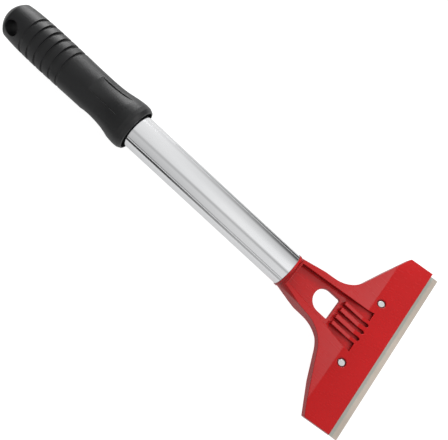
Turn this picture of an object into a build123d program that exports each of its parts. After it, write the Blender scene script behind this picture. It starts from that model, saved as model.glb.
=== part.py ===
from build123d import *
import math
import os

# Floor scraper with a 100 mm blade, in millimetres.
#
# Frame: the origin is where the hanging hole crosses the handle's axis. +X runs along the handle
# towards the blade, +Y along the blade's edge and +Z away from the clamp, on the smooth side of
# the head. The head's front plate is bent up from the handle's axis, so it has a frame of its own:
# s runs forwards along its top face, n is that face's outward normal.

# Driving dimensions -----------------------------------------------------------------------------

# handle
tube_radius = 9.5
tube_wall = 1.0
tube_end_chamfer = 0.3
tube_start = 9.0
bore_gap = 0.02
collar_x = 181.0
grip_tip = -9.5
dome_middle = (-8.2, 5.6)
dome_end = (-4.6, 10.0)
grip_shoulder = (6.0, 10.9)
grip_body_x = 22.0
grip_waist_x = 48.0
grip_neck = (61.0, 11.55)
grip_flare_x = 72.0
slope_at_dome = (1, 0.15)
slope_at_flare = (1, 0.05)
lip_edge = (74.4, 12.95)
lip_front = (76.2, 12.1)
grip_mouth = 76.5
mouth_radius = 11.3
mouth_depth = 3.2
hang_hole_radius = 3.9
hang_hole_turn = 49.0
grip_body_radius = 11.15
grip_waist_radius = 10.9
grip_flare_radius = 13.1
groove_count = 6
groove_first = 7.6
groove_pitch = 4.85
groove_width = 2.6
groove_depth = 1.1
groove_offset = 0.95
flute_count = 3
flute_half_angle = 28.0
flute_floor = [(46.0, 11.35), (50.5, 10.55), (56.0, 10.6), (61.5, 11.2), (67.5, 12.7)]
flute_outside = 16.0

# head
head_bend = 20.0
bend_x = collar_x + 30.8
neck_top = 5.2
plate_thickness = 2.6
plate_front = 31.6
wing_back = 18.6
wing_half = 51.2
front_half = 50.3
neck_rim_end = 3.0
flange_radius = 9.9
flange_length = 1.2
neck_radius = 9.2
neck_rim = 8.6
neck_half_back = 9.4
neck_half_front = 13.6
neck_corner = 31.3
neck_under = 1.2
neck_under_end = 32.0
heel_back = 10.0
shoulder_radius = 18.0
wing_corner = 1.2
neck_round_length = 26.0
neck_round_half = 14.5
neck_round_top = 8.0
neck_round_under = -6.0
neck_round_corner = 4.0
clear_of_head = 60.0
running_gap = 0.05
spigot_radius = tube_radius - tube_wall - running_gap
spigot_length = 30.0
spigot_core_radius = 5.5
spigot_core_length = 24.0

# recessed panel of the neck
panel_start = 3.8
panel_floor = 2.6
panel_half_back = 6.4
panel_end = 48.4
panel_half_front = 12.3
floor_thickness = 2.2
hole_flat = 31.0
hole_half = 6.5
hole_arc_centre = 24.6
hole_corner = 1.0
rib_start = 33.2
slot_count = 3
slot_spacing = 4.35
slot_width = 2.0
wedge_inner = 7.3
panel_floor_front = 4.6
pocket_start = 9.0
pocket_end = 39.0
pocket_inset = 0.6
pocket_corner = 2.0
countersink = 0.5

# blade and its clamp, along s and n
screw_s = 18.6
screw_half = 19.1
screw_radius = 2.0
blade_length = 100.0
blade_width = 18.0
blade_thickness = 1.0
blade_edge = 35.8
bevel_width = 2.4
edge_land = 0.1
notch_width = 4.8
notch_end = screw_s + 2.4
clamp_back = 10.6
clamp_shoulder = 16.5
clamp_front = 30.4
clamp_half_back = 27.0
clamp_half = 41.0
clamp_thickness = 2.2
clamp_hole_radius = 2.1
clamp_corner = 3.0
clamp_bevel = 0.8
washer_radius = 4.6
washer_thickness = 0.8
lock_radius = 3.8
lock_thickness = 1.0
washer_hole_radius = 2.15
lock_gap = 0.8
lock_slant = 12.0
screw_head_radius = 4.0
screw_head_height = 2.6
screw_recess = 0.25
screw_head_round = 1.3
screw_tip_chamfer = 0.4
recess_span = 4.4
recess_width = 1.0
recess_depth = 1.3

# rivet through the tube's underside
rivet_x = collar_x - 13.0
rivet_radius = 1.6
rivet_head_radius = 3.2
rivet_head_height = 0.9
rivet_crown_radius = 1.9
rivet_crown_height = 0.7
rivet_tail_radius = 2.3
rivet_tail_start = 5.0
rivet_tail_length = 1.6

# Frames -----------------------------------------------------------------------------------------

bend = math.radians(head_bend)
plate_x_dir = (math.cos(bend), 0, math.sin(bend))
plate_normal = (-math.sin(bend), 0, math.cos(bend))


def plate_plane(depth=0.0):
    """Plane parallel to the front plate's top face and depth below it, with s as its X."""
    base = Vector(bend_x, 0, 0) - Vector(plate_normal) * depth
    return Plane(origin=base, x_dir=plate_x_dir, z_dir=plate_normal)


def plate_point(along, depth):
    """X and Z of a point on the head's middle plane, from s and the depth below the top face."""
    return (
        bend_x + along * math.cos(bend) + depth * math.sin(bend),
        along * math.sin(bend) - depth * math.cos(bend),
    )


blade_back = blade_edge - blade_width
heel_depth = plate_thickness + blade_thickness
clamp_under = heel_depth + clamp_thickness
washer_under = clamp_under + washer_thickness
lock_under = washer_under + lock_thickness
crease_x = bend_x + neck_top / math.tan(bend)
ramp_run = panel_end - rib_start
ramp_rise = panel_floor_front - panel_floor
ramp_length = math.hypot(ramp_run, ramp_rise)
ramp_plane = Plane(
    origin=(collar_x + rib_start, 0, panel_floor),
    x_dir=(ramp_run, 0, ramp_rise),
    z_dir=(-ramp_rise, 0, ramp_run),
)


def panel_half(distance):
    """Half the panel's width at a distance in front of the collar."""
    slope = (panel_half_front - panel_half_back) / (panel_end - panel_start)
    return panel_half_back + slope * (distance - panel_start)


# Tube -------------------------------------------------------------------------------------------

tube_length = collar_x - tube_start

with BuildPart() as tube:
    with BuildSketch(Plane.YZ.offset(tube_start)):
        Circle(tube_radius)
        Circle(tube_radius - tube_wall, mode=Mode.SUBTRACT)
    extrude(amount=tube_length)
    with BuildSketch(Plane.XY.offset(-tube_radius - tube_wall)):
        with Locations((rivet_x, 0)):
            Circle(rivet_radius)
    extrude(amount=tube_radius, mode=Mode.SUBTRACT)
    chamfer(tube.edges().filter_by(GeomType.CIRCLE).group_by(Axis.X)[0], tube_end_chamfer)

# Grip -------------------------------------------------------------------------------------------

hole_turn = math.radians(hang_hole_turn)
hole_direction = Vector(0, -math.sin(hole_turn), math.cos(hole_turn))
hole_side = Vector(0, math.cos(hole_turn), math.sin(hole_turn))

with BuildPart() as grip:
    with BuildSketch(Plane.XZ):
        with BuildLine():
            dome = ThreePointArc((grip_tip, 0), dome_middle, dome_end)
            body = Spline(
                dome @ 1,
                grip_shoulder,
                (grip_body_x, grip_body_radius),
                (grip_waist_x, grip_waist_radius),
                grip_neck,
                (grip_flare_x, grip_flare_radius),
                tangents=[slope_at_dome, slope_at_flare],
            )
            Polyline(
                body @ 1,
                lip_edge,
                lip_front,
                (grip_mouth, mouth_radius),
                (grip_mouth - mouth_depth, mouth_radius),
                (grip_mouth - mouth_depth, tube_radius + bore_gap),
                (tube_start, tube_radius + bore_gap),
                (tube_start, 0),
                (grip_tip, 0),
            )
        make_face()
    revolve(axis=Axis.X)

    # Ring grooves are turned about axes set to each side of the hanging hole's, so each one is
    # deep at those sides and runs out where it faces along the hole.
    for index in range(groove_count):
        groove_x = groove_first + index * groove_pitch
        for side in (-1, 1):
            shift = hole_side * (-side * groove_offset)
            floor_radius = grip_body_radius - groove_depth + groove_offset
            with BuildSketch(Plane(origin=shift, x_dir=(1, 0, 0), z_dir=hole_direction)):
                with BuildLine():
                    Polyline(
                        (groove_x - groove_width / 2, floor_radius + 2 * groove_depth),
                        (groove_x - groove_width / 4, floor_radius),
                        (groove_x + groove_width / 4, floor_radius),
                        (groove_x + groove_width / 2, floor_radius + 2 * groove_depth),
                        close=True,
                    )
                make_face()
            revolve(axis=Axis(shift, (1, 0, 0)), mode=Mode.SUBTRACT)

    # Shallow flutes sunk into the waist, with a step along each side, that run out at both ends.
    for index in range(flute_count):
        turn = math.tau * index / flute_count + math.radians(flute_half_angle)
        outward = Vector(0, math.sin(turn), math.cos(turn))
        flute_plane = Plane(origin=(0, 0, 0), x_dir=(1, 0, 0), z_dir=Vector(1, 0, 0).cross(outward))
        with BuildSketch(flute_plane):
            with BuildLine():
                floor_line = Spline(*flute_floor)
                Polyline(
                    floor_line @ 1,
                    (flute_floor[-1][0], flute_outside),
                    (flute_floor[0][0], flute_outside),
                    floor_line @ 0,
                )
            make_face()
        revolve(axis=Axis.X, revolution_arc=2 * flute_half_angle, mode=Mode.SUBTRACT)

    # The hanging hole crosses the closed end, turned about the handle from +Z towards -Y.
    with BuildSketch(Plane(origin=(0, 0, 0), x_dir=(1, 0, 0), z_dir=hole_direction)):
        Circle(hang_hole_radius)
    extrude(amount=grip_flare_radius, both=True, mode=Mode.SUBTRACT)

# Head -------------------------------------------------------------------------------------------

wing_back_x = bend_x + wing_back * math.cos(bend)
wing_front_x = bend_x + plate_front
corner_x = collar_x + neck_corner
front_top = plate_point(plate_front, 0)
front_under = plate_point(plate_front, plate_thickness)
seat_step_top = plate_point(blade_back, plate_thickness)
seat_step_under = plate_point(blade_back, heel_depth)
heel_point = plate_point(heel_back, heel_depth)

with BuildPart() as neck_round:
    # round where it meets the tube, wider and flatter towards the plate
    with BuildSketch(Plane.YZ.offset(collar_x)):
        Circle(neck_radius)
    with BuildSketch(Plane.YZ.offset(collar_x + neck_round_length)):
        with Locations((0, (neck_round_top + neck_round_under) / 2)):
            RectangleRounded(
                2 * neck_round_half, neck_round_top - neck_round_under, neck_round_corner
            )
    loft()

with BuildPart() as neck_waste:
    # what the round neck leaves of a block round it
    with BuildSketch(Plane.YZ.offset(collar_x)):
        Rectangle(clear_of_head, clear_of_head)
    extrude(amount=neck_round_length)
    add(neck_round.part, mode=Mode.SUBTRACT)

with BuildPart() as head:
    # side view of the neck, the shoulders and the bent front plate
    with BuildSketch(Plane.XZ):
        with BuildLine():
            Polyline(
                (collar_x, neck_radius),
                (collar_x + flange_length, neck_rim),
                (collar_x + neck_rim_end, neck_top),
                (crease_x, neck_top),
                front_top,
                front_under,
                seat_step_top,
                seat_step_under,
                heel_point,
                (collar_x + neck_under_end, neck_under),
                (collar_x, -neck_radius),
                close=True,
            )
        make_face()
    extrude(amount=clear_of_head, both=True)

    # outline seen from above
    with BuildSketch(Plane.XY.offset(-clear_of_head / 2)):
        with BuildLine() as outline:
            Polyline(
                (collar_x, -neck_half_back),
                (corner_x, -neck_half_front),
                (wing_back_x, -wing_half),
                (wing_front_x, -front_half),
                (wing_front_x, front_half),
                (wing_back_x, wing_half),
                (corner_x, neck_half_front),
                (collar_x, neck_half_back),
                close=True,
            )
        make_face()
        fillet(outline.vertices().group_by(Axis.X)[1], shoulder_radius)
        fillet([v for v in vertices() if abs(v.Y) > front_half - wing_corner], wing_corner)
    extrude(amount=clear_of_head, mode=Mode.INTERSECT)
    add(neck_waste.part, mode=Mode.SUBTRACT)

    # collar that the tube butts against, and the spigot inside the tube
    with BuildSketch(Plane.YZ.offset(collar_x)):
        Circle(flange_radius)
    extrude(amount=flange_length)
    with BuildSketch(Plane.YZ.offset(collar_x)):
        Circle(spigot_radius)
    extrude(amount=-spigot_length)

    # spigot's core and the rivet's hole through its wall
    with BuildSketch(Plane.YZ.offset(collar_x - spigot_length)):
        Circle(spigot_core_radius)
    extrude(amount=spigot_core_length, mode=Mode.SUBTRACT)
    with BuildSketch(Plane.XY.offset(-tube_radius)):
        with Locations((rivet_x, 0)):
            Circle(rivet_radius)
    extrude(amount=tube_radius - spigot_core_radius + tube_wall, mode=Mode.SUBTRACT)

    # recessed panel behind the ribs
    with BuildSketch(Plane.XY.offset(panel_floor)):
        with BuildLine():
            Polyline(
                (collar_x + panel_start, -panel_half(panel_start)),
                (collar_x + rib_start, -panel_half(rib_start)),
                (collar_x + rib_start, panel_half(rib_start)),
                (collar_x + panel_start, panel_half(panel_start)),
                close=True,
            )
        make_face()
    extrude(amount=neck_top, mode=Mode.SUBTRACT)

    # wedge pockets beside the ribs and slots between them, on a floor that rises with the plate
    with BuildSketch(ramp_plane):
        for side in (-1, 1):
            with BuildLine():
                Polyline(
                    (0, side * wedge_inner),
                    (ramp_length, side * wedge_inner),
                    (ramp_length, side * panel_half_front),
                    (0, side * panel_half(rib_start)),
                    close=True,
                )
            make_face()
        with GridLocations(0, slot_spacing, 1, slot_count):
            with Locations((ramp_length / 2, 0)):
                SlotOverall(ramp_length + slot_width, slot_width)
    extrude(amount=neck_top, mode=Mode.SUBTRACT)

    # hollow underside of the neck
    with BuildSketch(Plane.XY.offset(panel_floor - floor_thickness)):
        with BuildLine():
            Polyline(
                (collar_x + pocket_start, -panel_half(pocket_start) + pocket_inset),
                (collar_x + pocket_end, -panel_half(pocket_end) + pocket_inset),
                (collar_x + pocket_end, panel_half(pocket_end) - pocket_inset),
                (collar_x + pocket_start, panel_half(pocket_start) - pocket_inset),
                close=True,
            )
        make_face()
        fillet(vertices(), pocket_corner)
    extrude(amount=-tube_radius * 2, mode=Mode.SUBTRACT)

    # D-shaped hole through the panel
    with BuildSketch(Plane.XY.offset(-tube_radius)):
        with BuildLine():
            flat = Line(
                (collar_x + hole_flat, -hole_half),
                (collar_x + hole_flat, hole_half),
            )
            upper = Line(flat @ 1, (collar_x + hole_arc_centre, hole_half))
            round_end = ThreePointArc(
                upper @ 1,
                (collar_x + hole_arc_centre - hole_half, 0),
                (collar_x + hole_arc_centre, -hole_half),
            )
            Line(round_end @ 1, flat @ 0)
        make_face()
        fillet(vertices().group_by(Axis.X)[-1], hole_corner)
    extrude(amount=2 * tube_radius, mode=Mode.SUBTRACT)

    # tapped holes for the clamp screws, countersunk on the top face
    with BuildSketch(plate_plane()):
        with Locations((screw_s, -screw_half), (screw_s, screw_half)):
            Circle(screw_radius + running_gap)
    extrude(amount=-2 * heel_depth, mode=Mode.SUBTRACT)
    with BuildSketch(plate_plane()):
        with Locations((screw_s, -screw_half), (screw_s, screw_half)):
            Circle(screw_radius + countersink)
    extrude(amount=-countersink, taper=45, mode=Mode.SUBTRACT)

# Blade ------------------------------------------------------------------------------------------

edge_depth = plate_thickness + blade_thickness / 2

with BuildPart() as blade:
    with BuildSketch(Plane.XZ):
        with BuildLine():
            Polyline(
                plate_point(blade_back, plate_thickness),
                plate_point(blade_edge - bevel_width, plate_thickness),
                plate_point(blade_edge, edge_depth - edge_land / 2),
                plate_point(blade_edge, edge_depth + edge_land / 2),
                plate_point(blade_edge - bevel_width, heel_depth),
                plate_point(blade_back, heel_depth),
                close=True,
            )
        make_face()
    extrude(amount=blade_length / 2, both=True)
    # open notches that straddle the clamp screws
    with BuildSketch(plate_plane()):
        with Locations((blade_back, -screw_half), (blade_back, screw_half)):
            SlotOverall(2 * (notch_end - blade_back), notch_width)
    extrude(amount=-2 * heel_depth, mode=Mode.SUBTRACT)

# Clamp plate ------------------------------------------------------------------------------------

with BuildPart() as clamp_plate:
    with BuildSketch(plate_plane(heel_depth)):
        with BuildLine():
            Polyline(
                (clamp_back, -clamp_half_back),
                (clamp_shoulder, -clamp_half),
                (clamp_front, -clamp_half),
                (clamp_front, clamp_half),
                (clamp_shoulder, clamp_half),
                (clamp_back, clamp_half_back),
                close=True,
            )
        make_face()
        fillet(vertices(), clamp_corner)
        with Locations((screw_s, -screw_half), (screw_s, screw_half)):
            Circle(clamp_hole_radius, mode=Mode.SUBTRACT)
    extrude(amount=-clamp_thickness)
    outer_rim = clamp_plate.faces().sort_by(Axis(origin=(0, 0, 0), direction=plate_normal))[0]
    chamfer(outer_rim.outer_wire().edges(), clamp_bevel)

# Tube rivet -------------------------------------------------------------------------------------

with BuildPart() as tube_rivet:
    with BuildSketch(Plane.XZ):
        with BuildLine():
            crown = ThreePointArc(
                (rivet_x, -tube_radius - rivet_head_height),
                (rivet_x + rivet_crown_radius, -tube_radius - rivet_crown_height),
                (rivet_x + rivet_head_radius, -tube_radius),
            )
            Polyline(
                crown @ 1,
                (rivet_x + rivet_radius, -tube_radius),
                (rivet_x + rivet_radius, -rivet_tail_start),
                (rivet_x + rivet_tail_radius, -rivet_tail_start),
                (rivet_x + rivet_tail_radius, rivet_tail_length - rivet_tail_start),
                (rivet_x, rivet_tail_length - rivet_tail_start),
                (rivet_x, -tube_radius - rivet_head_height),
            )
        make_face()
    revolve(axis=Axis((rivet_x, 0, 0), (0, 0, 1)))


# Clamp screws and their washers ------------------------------------------------------------------

def flat_washer(screw_y):
    """Flat washer under the clamp plate."""
    with BuildPart() as washer:
        with BuildSketch(plate_plane(clamp_under)):
            with Locations((screw_s, screw_y)):
                Circle(washer_radius)
                Circle(washer_hole_radius, mode=Mode.SUBTRACT)
        extrude(amount=-washer_thickness)
    return washer.part


def lock_washer(screw_y):
    """Split spring washer between the flat washer and the screw's head."""
    with BuildPart() as washer:
        with BuildSketch(plate_plane(washer_under)):
            with Locations((screw_s, screw_y)):
                Circle(lock_radius)
                Circle(washer_hole_radius, mode=Mode.SUBTRACT)
            with Locations((screw_s - lock_radius, screw_y)):
                Rectangle(lock_radius, lock_gap, rotation=lock_slant, mode=Mode.SUBTRACT)
        extrude(amount=-lock_thickness)
    return washer.part


def clamp_screw(screw_y):
    """Pan-head cross-recess screw, put in from below, its end level with the top face."""
    with BuildPart() as screw:
        with BuildSketch(plate_plane(screw_recess)):
            with Locations((screw_s, screw_y)):
                Circle(screw_radius)
        extrude(amount=screw_recess - lock_under)
        tip_edges = screw.edges().sort_by(Axis(origin=(0, 0, 0), direction=plate_normal))
        chamfer(tip_edges[-1], screw_tip_chamfer)
        with BuildSketch(plate_plane(lock_under)):
            with Locations((screw_s, screw_y)):
                Circle(screw_head_radius)
        extrude(amount=-screw_head_height)
        head_edges = screw.edges().sort_by(Axis(origin=(0, 0, 0), direction=plate_normal))
        fillet(head_edges[0], screw_head_round)
        with BuildSketch(plate_plane(lock_under + screw_head_height)):
            with Locations((screw_s, screw_y)):
                Rectangle(recess_span, recess_width)
                Rectangle(recess_width, recess_span)
        extrude(amount=recess_depth, mode=Mode.SUBTRACT)
    return screw.part


pieces = {
    "tube": tube.part,
    "grip": grip.part,
    "head": head.part,
    "blade": blade.part,
    "clamp_plate": clamp_plate.part,
    "tube_rivet": tube_rivet.part,
}
for side_name, screw_y in (("left", screw_half), ("right", -screw_half)):
    pieces["flat_washer_" + side_name] = flat_washer(screw_y)
    pieces["lock_washer_" + side_name] = lock_washer(screw_y)
    pieces["clamp_screw_" + side_name] = clamp_screw(screw_y)

os.makedirs("parts", exist_ok=True)
for piece_name, piece in pieces.items():
    piece.label = piece_name
    export_step(piece, "parts/" + piece_name + ".step")
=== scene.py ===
"""Floor scraper: looks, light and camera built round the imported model.

Metres, in the part's own frame: the origin is where the hanging hole crosses the handle,
+X runs along the handle towards the blade, +Y along the blade's edge and +Z up.
"""

import math

import bmesh
import bpy
from mathutils import Matrix, Vector


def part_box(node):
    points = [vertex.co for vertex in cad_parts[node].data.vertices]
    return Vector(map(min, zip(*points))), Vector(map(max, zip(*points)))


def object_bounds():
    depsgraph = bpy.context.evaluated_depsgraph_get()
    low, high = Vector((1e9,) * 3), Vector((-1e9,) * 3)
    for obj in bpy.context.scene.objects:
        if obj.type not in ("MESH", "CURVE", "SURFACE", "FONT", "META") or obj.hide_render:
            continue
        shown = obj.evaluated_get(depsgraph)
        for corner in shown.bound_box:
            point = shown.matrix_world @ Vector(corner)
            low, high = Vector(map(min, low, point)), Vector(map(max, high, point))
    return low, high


MM = 0.001
CAMERA_PLACE = Vector((0.1355, -0.0974, 0.2364))
CAMERA_RIGHT = Vector((0.7347, 0.6255, 0.2626))
CAMERA_UP = Vector((-0.6781, 0.6874, 0.2600))
LENS = 40.18
SENSOR = 36.0
PLATE_COS = math.cos(math.radians(20.0))
PLATE_SIN = math.sin(math.radians(20.0))
BEVEL_WIDTH = 2.4 * MM
BEVEL_BLEND = 0.1 * MM
HEAD_EDGE = 0.45 * MM
GRIP_EDGE = 0.25 * MM
FASTENER_EDGE = 0.15 * MM
SHADE_SAMPLES = 6
SHELTERED = 0.35
OPEN = 0.95
FLOOR_HALF = 1.6
FLOOR_CELLS = 8
FLOOR_MIDDLE = 0.12
FLOOR_GAP = 0.2 * MM
FLOOR_GLOW = 0.93
FLOOR_GLOW_REFLECTED = 0.52

# Brightness of the room at angles about the handle, in degrees from +Z towards +Y.
ROOM_NEAR_GRIP = [
    (-98, 0.01), (-90, 0.01), (-83, 0.50), (-46, 0.60), (-34, 0.46), (-22, 0.73), (10, 0.80),
    (60, 0.86), (98, 0.78)]
ROOM_NEAR_HEAD = [
    (-98, 0.20), (-90, 0.30), (-83, 0.76), (-46, 0.74), (-34, 0.42), (-20, 0.96), (8, 0.90),
    (35, 0.66), (58, 0.52), (74, 0.06), (98, 0.02)]
ROOM_BEHIND = 0.30
ROOM_AHEAD = 0.50


# ---- node helpers ----------------------------------------------------------

def new_material(name):
    """An empty node material with a Principled shader joined to its output."""
    material = bpy.data.materials.new(name)
    material.use_nodes = True
    tree = material.node_tree
    tree.nodes.clear()
    output = tree.nodes.new("ShaderNodeOutputMaterial")
    shader = tree.nodes.new("ShaderNodeBsdfPrincipled")
    tree.links.new(shader.outputs["BSDF"], output.inputs["Surface"])
    return material, tree, shader


def join(tree, value, slot):
    """Feeds a slot from another socket, or gives it a plain value."""
    if isinstance(value, bpy.types.NodeSocket):
        tree.links.new(value, slot)
    else:
        slot.default_value = value


def place(tree, scale=(1.0, 1.0, 1.0), turn=(0.0, 0.0, 0.0)):
    """Object coordinates, turned and stretched."""
    coordinates = tree.nodes.new("ShaderNodeTexCoord")
    mapping = tree.nodes.new("ShaderNodeMapping")
    mapping.inputs["Scale"].default_value = scale
    mapping.inputs["Rotation"].default_value = turn
    tree.links.new(coordinates.outputs["Object"], mapping.inputs["Vector"])
    return mapping.outputs["Vector"]


def noise(tree, vector, scale, detail=3.0, roughness=0.5):
    node = tree.nodes.new("ShaderNodeTexNoise")
    node.inputs["Scale"].default_value = scale
    node.inputs["Detail"].default_value = detail
    node.inputs["Roughness"].default_value = roughness
    tree.links.new(vector, node.inputs["Vector"])
    return node.outputs["Fac"]


def spread(tree, factor, low, high, from_low=0.3, from_high=0.7):
    """Maps a factor onto a range of plain numbers."""
    node = tree.nodes.new("ShaderNodeMapRange")
    node.inputs["From Min"].default_value = from_low
    node.inputs["From Max"].default_value = from_high
    node.inputs["To Min"].default_value = low
    node.inputs["To Max"].default_value = high
    tree.links.new(factor, node.inputs["Value"])
    return node.outputs["Result"]


def ramp(tree, factor, stops):
    """Maps a factor onto colours, given as (place, colour) pairs."""
    node = tree.nodes.new("ShaderNodeValToRGB")
    elements = node.color_ramp.elements
    elements[0].position, elements[0].color = stops[0][0], (*stops[0][1], 1.0)
    elements[1].position, elements[1].color = stops[-1][0], (*stops[-1][1], 1.0)
    for position, colour in stops[1:-1]:
        elements.new(position).color = (*colour, 1.0)
    tree.links.new(factor, node.inputs["Fac"])
    return node.outputs["Color"]


def bump(tree, height, distance, strength=1.0, below=None):
    node = tree.nodes.new("ShaderNodeBump")
    node.inputs["Strength"].default_value = strength
    node.inputs["Distance"].default_value = distance
    tree.links.new(height, node.inputs["Height"])
    if below is not None:
        tree.links.new(below, node.inputs["Normal"])
    return node.outputs["Normal"]


def rounded(tree, radius):
    """Normals that round off sharp edges."""
    node = tree.nodes.new("ShaderNodeBevel")
    node.samples = SHADE_SAMPLES
    node.inputs["Radius"].default_value = radius
    return node.outputs["Normal"]


def shelter(tree, distance):
    """How open a point is: 1 on open faces, less in corners, slots and holes."""
    node = tree.nodes.new("ShaderNodeAmbientOcclusion")
    node.samples = SHADE_SAMPLES
    node.inputs["Distance"].default_value = distance
    return node.outputs["AO"]


def mix_colours(tree, factor, first, second, blend="MIX"):
    """A colour Mix node whose inputs are sockets or plain values."""
    node = tree.nodes.new("ShaderNodeMix")
    node.data_type = "RGBA"
    node.blend_type = blend
    join(tree, factor, node.inputs["Factor"])
    join(tree, first, node.inputs["A"])
    join(tree, second, node.inputs["B"])
    return node.outputs["Result"]


def paint_shade(tree, colour, factor, low):
    """Paints shade into a colour: darker where the factor is small."""
    shade = spread(tree, factor, low, 1.0, SHELTERED, OPEN)
    return mix_colours(tree, 1.0, colour, shade, "MULTIPLY")


def math_node(tree, operation, *values):
    """A Math node whose inputs are sockets or plain numbers."""
    node = tree.nodes.new("ShaderNodeMath")
    node.operation = operation
    for slot, value in zip(node.inputs, values):
        join(tree, value, slot)
    return node.outputs["Value"]


def axes(tree, vector):
    """The X, Y and Z of a vector."""
    node = tree.nodes.new("ShaderNodeSeparateXYZ")
    tree.links.new(vector, node.inputs["Vector"])
    return node.outputs["X"], node.outputs["Y"], node.outputs["Z"]


# ---- materials -------------------------------------------------------------

def chrome():
    """Plated tube: nearly a mirror, with fine lines along it and a few smears."""
    material, tree, shader = new_material("chrome_tube")
    smears = noise(tree, place(tree, (0.5, 1.0, 1.0)), 45.0, 4.0)
    lines = noise(tree, place(tree, (0.02, 1.0, 1.0)), 2600.0, 2.0)
    colour = ramp(tree, smears, [(0.3, (0.87, 0.88, 0.895)), (0.7, (0.92, 0.925, 0.935))])
    tree.links.new(colour, shader.inputs["Base Color"])
    tree.links.new(spread(tree, smears, 0.07, 0.13), shader.inputs["Roughness"])
    tree.links.new(bump(tree, lines, 0.004 * MM, 0.5), shader.inputs["Normal"])
    shader.inputs["Metallic"].default_value = 1.0
    return material


def rubber():
    """Black moulded grip with a fine matt grain and slightly polished, dusty patches."""
    material, tree, shader = new_material("grip_rubber")
    patches = noise(tree, place(tree), 60.0, 4.0)
    grain = noise(tree, place(tree), 2400.0, 2.0)
    swell = noise(tree, place(tree), 300.0, 2.0)
    colour = ramp(tree, patches, [(0.3, (0.008, 0.0083, 0.009)), (0.75, (0.014, 0.0143, 0.015))])
    # Painted shade: the black is darkened in grooves, corners and hollows.
    tree.links.new(paint_shade(tree, colour, shelter(tree, 1.2 * MM), 0.25), shader.inputs["Base Color"])
    tree.links.new(spread(tree, patches, 0.36, 0.48), shader.inputs["Roughness"])
    coarse = bump(tree, swell, 0.06 * MM, 0.4, rounded(tree, GRIP_EDGE))
    tree.links.new(bump(tree, grain, 0.03 * MM, 0.6, coarse), shader.inputs["Normal"])
    shader.inputs["Specular IOR Level"].default_value = 0.45
    return material


def red_paint():
    """Glossy red enamel: faint orange peel, rounded edges, rubbed lines, and painted shade in corners and
    on steep walls.
    """
    material, tree, shader = new_material("red_head")
    clouds = noise(tree, place(tree), 35.0, 3.0)
    peel = noise(tree, place(tree), 520.0, 2.0)
    rubs = noise(tree, place(tree, (0.12, 1.0, 1.0), (0.0, 0.0, 0.5)), 900.0, 3.0)
    soft = rounded(tree, HEAD_EDGE)
    # Painted shade on steep walls: the red is darkened where the rounded normal turns away from up or
    # down.
    level = math_node(tree, "ABSOLUTE", axes(tree, soft)[2])
    colour = ramp(tree, clouds, [(0.3, (0.51, 0.0020, 0.0032)), (0.7, (0.58, 0.0027, 0.0045))])
    # Painted shade: the red is darkened in corners, slots and holes.
    corner_shaded_colour = paint_shade(tree, colour, shelter(tree, 1.0 * MM), 0.68)
    tree.links.new(paint_shade(tree, corner_shaded_colour, level, 0.55), shader.inputs["Base Color"])
    tree.links.new(spread(tree, rubs, 0.22, 0.29), shader.inputs["Roughness"])
    tree.links.new(bump(tree, peel, 0.02 * MM, 0.2, soft), shader.inputs["Normal"])
    shader.inputs["Specular IOR Level"].default_value = 0.35
    return material


def ground_steel():
    """Blade strip: dull flat, lighter ground bevel, fine grinding lines square to the edge."""
    material, tree, shader = new_material("blade_steel")
    lines = noise(tree, place(tree, (0.02, 1.0, 0.02)), 3600.0, 3.0)
    stains = noise(tree, place(tree, (0.4, 0.5, 0.4)), 60.0, 3.0)
    along, _, up = axes(tree, place(tree))
    raised = math_node(tree, "MULTIPLY", up, PLATE_SIN)
    forwards = math_node(tree, "MULTIPLY_ADD", along, PLATE_COS, raised)
    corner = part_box("blade")[1]
    start = corner.x * PLATE_COS + corner.z * PLATE_SIN - BEVEL_WIDTH
    bevel = spread(tree, forwards, 0.0, 1.0, start - BEVEL_BLEND, start + BEVEL_BLEND)
    flat = ramp(tree, stains, [(0.35, (0.54, 0.56, 0.50)), (0.7, (0.66, 0.67, 0.61))])
    ground = ramp(tree, stains, [(0.35, (0.50, 0.435, 0.37)), (0.7, (0.62, 0.55, 0.48))])
    tree.links.new(mix_colours(tree, bevel, flat, ground), shader.inputs["Base Color"])
    tree.links.new(spread(tree, lines, 0.30, 0.46), shader.inputs["Roughness"])
    tree.links.new(bump(tree, lines, 0.004 * MM, 0.5), shader.inputs["Normal"])
    shader.inputs["Metallic"].default_value = 1.0
    return material


def bright_steel():
    """Plated screws, washers and rivet."""
    material, tree, shader = new_material("bright_steel")
    wear = noise(tree, place(tree), 500.0, 4.0)
    colour = ramp(tree, wear, [(0.3, (0.90, 0.90, 0.89)), (0.7, (0.99, 0.99, 0.98))])
    # Painted shade: the steel is darkened almost to black in corners and gaps around the heads.
    tree.links.new(paint_shade(tree, colour, shelter(tree, 0.8 * MM), 0.05), shader.inputs["Base Color"])
    tree.links.new(spread(tree, wear, 0.18, 0.34), shader.inputs["Roughness"])
    tree.links.new(bump(tree, wear, 0.01 * MM, 0.4, rounded(tree, FASTENER_EDGE)), shader.inputs["Normal"])
    shader.inputs["Metallic"].default_value = 1.0
    return material


def dress(frame):
    """Gives each node of the frame the material of its part."""
    red = red_paint()
    steel = bright_steel()
    looks = {"tube": chrome(), "grip": rubber(), "head": red, "clamp_plate": red}
    looks["blade"] = ground_steel()
    for name, node in frame["nodes"].items():
        material = looks.get(name, steel)
        for slot in node.material_slots:
            slot.material = material


# ---- stage -----------------------------------------------------------------

def stage_sheet(name, shape, material):
    """An object made from a bmesh that isn't part of the tool."""
    mesh = bpy.data.meshes.new(name)
    shape.to_mesh(mesh)
    shape.free()
    mesh.materials.append(material)
    sheet = bpy.data.objects.new(name, mesh)
    bpy.context.scene.collection.objects.link(sheet)
    return sheet


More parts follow.
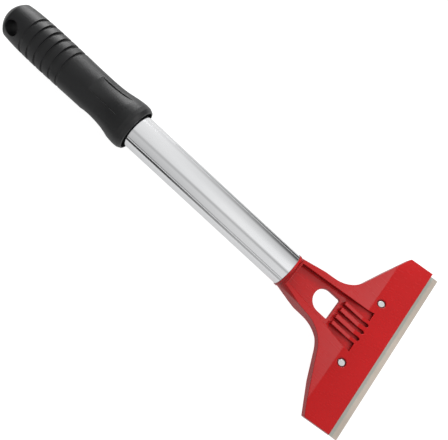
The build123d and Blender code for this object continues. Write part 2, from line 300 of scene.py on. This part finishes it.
def floor(low):
    """A large pale floor under the lowest point of the tool, which glows less in reflections."""
    material, tree, shader = new_material("pale_floor")
    clouds = noise(tree, place(tree), 6.0, 2.0)
    colour = ramp(tree, clouds, [(0.3, (0.25, 0.25, 0.25)), (0.7, (0.27, 0.27, 0.27))])
    tree.links.new(colour, shader.inputs["Base Color"])
    path = tree.nodes.new("ShaderNodeLightPath")
    reflected = path.outputs["Is Glossy Ray"]
    glow = spread(tree, reflected, FLOOR_GLOW, FLOOR_GLOW_REFLECTED, 0.0, 1.0)
    shader.inputs["Emission Color"].default_value = (1.0, 1.0, 1.0, 1.0)
    tree.links.new(glow, shader.inputs["Emission Strength"])
    shader.inputs["Roughness"].default_value = 0.9
    shader.inputs["Specular IOR Level"].default_value = 0.1
    shape = bmesh.new()
    bmesh.ops.create_grid(shape, x_segments=FLOOR_CELLS, y_segments=FLOOR_CELLS, size=FLOOR_HALF)
    stage_sheet("floor", shape, material).location = (FLOOR_MIDDLE, 0.0, low.z - FLOOR_GAP)


def grey(level):
    return (level, level, level)


def flag(name, across, low, top, start, end, tones):
    """A card standing on the floor along the handle, seen only in reflections.

    The tones are brightnesses at fractions of its length.
    """
    material, tree, shader = new_material(name)
    along = spread(tree, axes(tree, place(tree))[0], 0.0, 1.0, start, end)
    shades = ramp(tree, along, [(fraction, grey(level)) for fraction, level in tones])
    tree.links.new(shades, shader.inputs["Emission Color"])
    shader.inputs["Emission Strength"].default_value = 1.0
    shader.inputs["Base Color"].default_value = (0.0, 0.0, 0.0, 1.0)
    shape = bmesh.new()
    corners = [(start, across, low), (end, across, low), (end, across, top), (start, across, top)]
    shape.faces.new([shape.verts.new(corner) for corner in corners])
    card = stage_sheet(name, shape, material)
    card.visible_camera = False
    card.visible_diffuse = False
    card.visible_shadow = False


def around(tree, across, up, stops):
    """Brightness of the room by the angle about the handle's axis."""
    angle = math_node(tree, "ARCTAN2", across, up)
    turn = spread(tree, angle, 0.0, 1.0, -math.pi, math.pi)
    return ramp(tree, turn, [(0.5 + degrees / 360.0, grey(level)) for degrees, level in stops])


def room_end(tree, colour, along, start, full, level):
    """Turns the room's walls to one grey beyond a distance along the handle."""
    return mix_colours(tree, spread(tree, along, 0.0, 1.0, start, full), colour, (*grey(level), 1.0))


def studio():
    """A pale room with dark lines low along the handle and grey ends, plain white to the camera."""
    world = bpy.data.worlds.new("studio")
    bpy.context.scene.world = world
    world.use_nodes = True
    tree = world.node_tree
    tree.nodes.clear()
    coordinates = tree.nodes.new("ShaderNodeTexCoord")
    along, across, up = axes(tree, coordinates.outputs["Generated"])
    near_grip = around(tree, across, up, ROOM_NEAR_GRIP)
    near_head = around(tree, across, up, ROOM_NEAR_HEAD)
    sides = mix_colours(tree, spread(tree, along, 0.0, 1.0, -0.2, 0.2), near_grip, near_head)
    behind = room_end(tree, sides, along, -0.24, -0.42, ROOM_BEHIND)
    ends = room_end(tree, behind, along, 0.45, 0.8, ROOM_AHEAD)
    seen = tree.nodes.new("ShaderNodeBackground")
    seen.inputs["Color"].default_value = (*grey(1.0), 1.0)
    lit = tree.nodes.new("ShaderNodeBackground")
    tree.links.new(ends, lit.inputs["Color"])
    path = tree.nodes.new("ShaderNodeLightPath")
    chosen = tree.nodes.new("ShaderNodeMixShader")
    output = tree.nodes.new("ShaderNodeOutputWorld")
    tree.links.new(path.outputs["Is Camera Ray"], chosen.inputs["Fac"])
    tree.links.new(lit.outputs["Background"], chosen.inputs[1])
    tree.links.new(seen.outputs["Background"], chosen.inputs[2])
    tree.links.new(chosen.outputs["Shader"], output.inputs["Surface"])


def area_light(name, target, direction, distance, size, power):
    """A soft light that looks at a target from a direction."""
    lamp = bpy.data.lights.new(name, "AREA")
    lamp.shape = "DISK"
    lamp.size = size
    lamp.energy = power
    holder = bpy.data.objects.new(name, lamp)
    holder.location = target + direction.normalized() * distance
    holder.rotation_euler = (-direction).to_track_quat("-Z", "Y").to_euler()
    bpy.context.scene.collection.objects.link(holder)
    return holder


def lights(middle):
    """Two broad lights, and a small one near the head that is hidden from reflections."""
    area_light("overhead", middle, Vector((0.62, 0.4, 0.76)), distance=0.9, size=0.5, power=1.1)
    area_light("side", middle, Vector((-0.6, 0.75, 0.3)), distance=0.7, size=0.45, power=2.6)
    head = middle + Vector((0.09, 0.0, 0.0))
    fill = area_light("fill", head, Vector((-0.25, 0.80, 0.55)), distance=0.36, size=0.12, power=0.30)
    fill.visible_glossy = False


def cards(low):
    """Two dark cards whose reflections draw the tube's dark lines."""
    flag("flag_right", across=-0.049, low=low.z, top=0.0, start=0.0, end=0.19,
         tones=[(0.0, 0.01), (0.5, 0.03), (0.9, 0.42)])
    flag("flag_left", across=0.045, low=low.z, top=0.0047, start=0.09, end=0.195,
         tones=[(0.0, 0.65), (0.35, 0.42), (0.85, 0.06)])


def camera():
    """The camera, above the tool and to the right of its handle."""
    back = CAMERA_RIGHT.cross(CAMERA_UP)
    lens = bpy.data.cameras.new("camera")
    lens.sensor_fit = "HORIZONTAL"
    lens.sensor_width = SENSOR
    lens.lens = LENS
    holder = bpy.data.objects.new("camera", lens)
    turn = Matrix((CAMERA_RIGHT, CAMERA_UP, back)).transposed().to_4x4()
    holder.matrix_world = Matrix.Translation(CAMERA_PLACE) @ turn
    bpy.context.scene.collection.objects.link(holder)
    bpy.context.scene.camera = holder


# ---- the scene -------------------------------------------------------------

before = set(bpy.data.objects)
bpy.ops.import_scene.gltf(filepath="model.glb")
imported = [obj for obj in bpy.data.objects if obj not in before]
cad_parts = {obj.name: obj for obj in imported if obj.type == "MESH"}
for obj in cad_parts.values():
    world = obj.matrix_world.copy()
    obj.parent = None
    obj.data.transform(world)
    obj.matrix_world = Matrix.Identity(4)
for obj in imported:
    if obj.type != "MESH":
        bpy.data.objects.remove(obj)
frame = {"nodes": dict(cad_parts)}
cad_low, cad_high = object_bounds()
dress(frame)
floor(cad_low)
studio()
cards(cad_low)
lights((cad_low + cad_high) / 2)
camera()
bpy.context.scene.view_settings.view_transform = "Standard"
